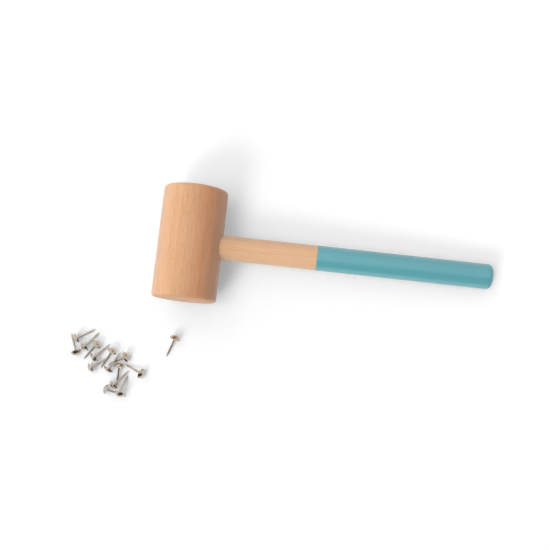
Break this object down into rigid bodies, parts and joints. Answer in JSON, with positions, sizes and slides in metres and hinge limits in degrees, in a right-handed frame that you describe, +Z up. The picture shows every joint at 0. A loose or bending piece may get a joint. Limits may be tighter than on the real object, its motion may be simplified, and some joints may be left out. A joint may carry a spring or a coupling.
{
  "type": "hammering game",
  "caption": "Turned wooden toy mallet with a painted dowel grip, lying beside a loose heap of small plated dome nails for tapping into a soft board.",
  "frame": {"origin": "middle of the footprint of the mallet and its nails together, on the floor that they lie on", "axes": "+X along the handle from the mallet's head to its grip, seen from above; +Y along the head's axis, away from the nails; +Z up"},
  "size_m": [0.2594, 0.133, 0.04],
  "materials": {
    "head_wood": "turned beech, oiled, satin",
    "handle_wood": "beech dowel, sanded, satin",
    "grip_paint": "satin paint, teal",
    "nickel_plate": "bright nickel plate"
  },
  "bodies": {
    "mallet": {"mallet_head": "head_wood", "mallet_handle": "handle_wood", "grip_paint": "grip_paint"},
    "nail_01": {"nail_01_cap": "nickel_plate", "nail_01_shank": "nickel_plate"},
    "nail_02": {"nail_02_cap": "nickel_plate", "nail_02_shank": "nickel_plate"},
    "nail_03": {"nail_03_cap": "nickel_plate", "nail_03_shank": "nickel_plate"},
    "nail_04": {"nail_04_cap": "nickel_plate", "nail_04_shank": "nickel_plate"},
    "nail_05": {"nail_05_cap": "nickel_plate", "nail_05_shank": "nickel_plate"},
    "nail_06": {"nail_06_cap": "nickel_plate", "nail_06_shank": "nickel_plate"},
    "nail_07": {"nail_07_cap": "nickel_plate", "nail_07_shank": "nickel_plate"},
    "nail_08": {"nail_08_cap": "nickel_plate", "nail_08_shank": "nickel_plate"},
    "nail_09": {"nail_09_cap": "nickel_plate", "nail_09_shank": "nickel_plate"},
    "nail_10": {"nail_10_cap": "nickel_plate", "nail_10_shank": "nickel_plate"},
    "nail_11": {"nail_11_cap": "nickel_plate", "nail_11_shank": "nickel_plate"},
    "nail_12": {"nail_12_cap": "nickel_plate", "nail_12_shank": "nickel_plate"},
    "nail_13": {"nail_13_cap": "nickel_plate", "nail_13_shank": "nickel_plate"},
    "nail_14": {"nail_14_cap": "nickel_plate", "nail_14_shank": "nickel_plate"},
    "nail_15": {"nail_15_cap": "nickel_plate", "nail_15_shank": "nickel_plate"}
  },
  "joints": [
    {"name": "nail_01_lift", "type": "slide", "parent": "mallet", "child": "nail_01", "axis": [0, 0, 1], "range_m": [0, 0.05]},
    {"name": "nail_02_lift", "type": "slide", "parent": "mallet", "child": "nail_02", "axis": [0, 0, 1], "range_m": [0, 0.05]},
    {"name": "nail_03_lift", "type": "slide", "parent": "mallet", "child": "nail_03", "axis": [0, 0, 1], "range_m": [0, 0.05]},
    {"name": "nail_04_lift", "type": "slide", "parent": "mallet", "child": "nail_04", "axis": [0, 0, 1], "range_m": [0, 0.05]},
    {"name": "nail_05_lift", "type": "slide", "parent": "mallet", "child": "nail_05", "axis": [0, 0, 1], "range_m": [0, 0.05]},
    {"name": "nail_06_lift", "type": "slide", "parent": "mallet", "child": "nail_06", "axis": [0, 0, 1], "range_m": [0, 0.05]},
    {"name": "nail_07_lift", "type": "slide", "parent": "nail_06", "child": "nail_07", "axis": [0, 0, 1], "range_m": [0, 0.05]},
    {"name": "nail_08_lift", "type": "slide", "parent": "nail_09", "child": "nail_08", "axis": [0, 0, 1], "range_m": [0, 0.05]},
    {"name": "nail_09_lift", "type": "slide", "parent": "mallet", "child": "nail_09", "axis": [0, 0, 1], "range_m": [0, 0.05]},
    {"name": "nail_10_lift", "type": "slide", "parent": "mallet", "child": "nail_10", "axis": [0, 0, 1], "range_m": [0, 0.05]},
    {"name": "nail_11_lift", "type": "slide", "parent": "mallet", "child": "nail_11", "axis": [0, 0, 1], "range_m": [0, 0.05]},
    {"name": "nail_12_lift", "type": "slide", "parent": "mallet", "child": "nail_12", "axis": [0, 0, 1], "range_m": [0, 0.05]},
    {"name": "nail_13_lift", "type": "slide", "parent": "nail_10", "child": "nail_13", "axis": [0, 0, 1], "range_m": [0, 0.05]},
    {"name": "nail_14_lift", "type": "slide", "parent": "nail_12", "child": "nail_14", "axis": [0, 0, 1], "range_m": [0, 0.05]},
    {"name": "nail_15_lift", "type": "slide", "parent": "mallet", "child": "nail_15", "axis": [0, 0, 1], "range_m": [0, 0.05]}
  ]
}
